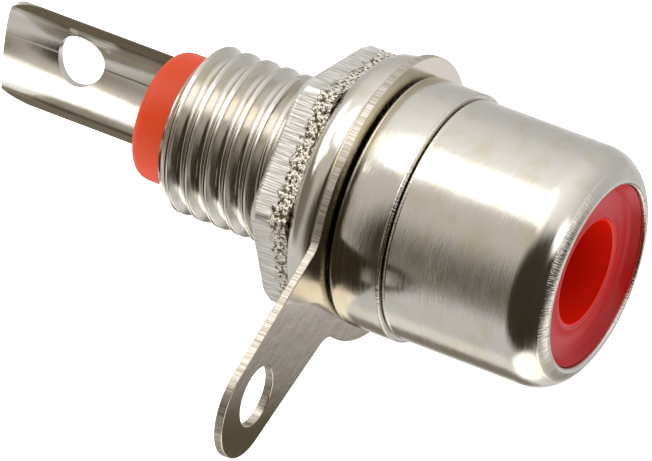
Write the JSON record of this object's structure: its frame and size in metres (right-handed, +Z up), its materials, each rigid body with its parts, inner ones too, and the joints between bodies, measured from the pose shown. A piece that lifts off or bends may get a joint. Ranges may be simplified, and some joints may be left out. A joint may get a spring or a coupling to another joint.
{
  "type": "panel-mount RCA socket",
  "caption": "Panel-mount phono socket: rolled metal sleeve with a red insulator, threaded bushing, hexagon nut, washer, solder tag and rear solder cup.",
  "frame": {"origin": "on the socket axis, in the plane of the collar's rear face, which sits against the front of the panel", "axes": "Y is the socket axis: the mouth faces -Y and the solder cup +Y; +Z is up as pictured; the solder tag points towards -X and slightly down"},
  "size_m": [0.0161, 0.0239, 0.01],
  "materials": {
    "turned_nickel": "nickel plate, fine turning lines",
    "drawn_nickel": "nickel plate, light scratches",
    "red_front_plastic": "moulded, satin gloss",
    "red_rear_plastic": "moulded, satin",
    "tinned_contact": "tin plate, smooth",
    "stamped_nickel": "nickel plate over stamped edges",
    "washer_nickel": "nickel plate, smooth",
    "tag_nickel": "nickel plate over blanked sheet"
  },
  "bodies": {
    "socket": {"threaded_bushing": "turned_nickel", "contact_sleeve": "drawn_nickel", "front_insulator": "red_front_plastic", "rear_insulator": "red_rear_plastic", "centre_contact": "tinned_contact"},
    "washer": {"flat_washer": "washer_nickel"},
    "nut": {"hex_nut": "stamped_nickel"},
    "tag": {"solder_tag": "tag_nickel"}
  },
  "joints": [
    {"name": "clamp_slide", "type": "slide", "parent": "socket", "child": "washer", "axis": [0, 1, 0], "range_m": [0, 0.0044]},
    {"name": "nut_turn", "type": "hinge", "parent": "washer", "child": "nut", "pos_m": [0, 0, 0], "axis": [0, 1, 0], "range_deg": [0, 2112]},
    {"name": "tag_swivel", "type": "hinge", "parent": "washer", "child": "tag", "pos_m": [0, 0, 0], "axis": [0, 1, 0], "continuous": true}
  ],
  "couplings": [
    {"joint": "nut_turn", "follows": "clamp_slide", "rad_per_m": 8377.6}
  ]
}
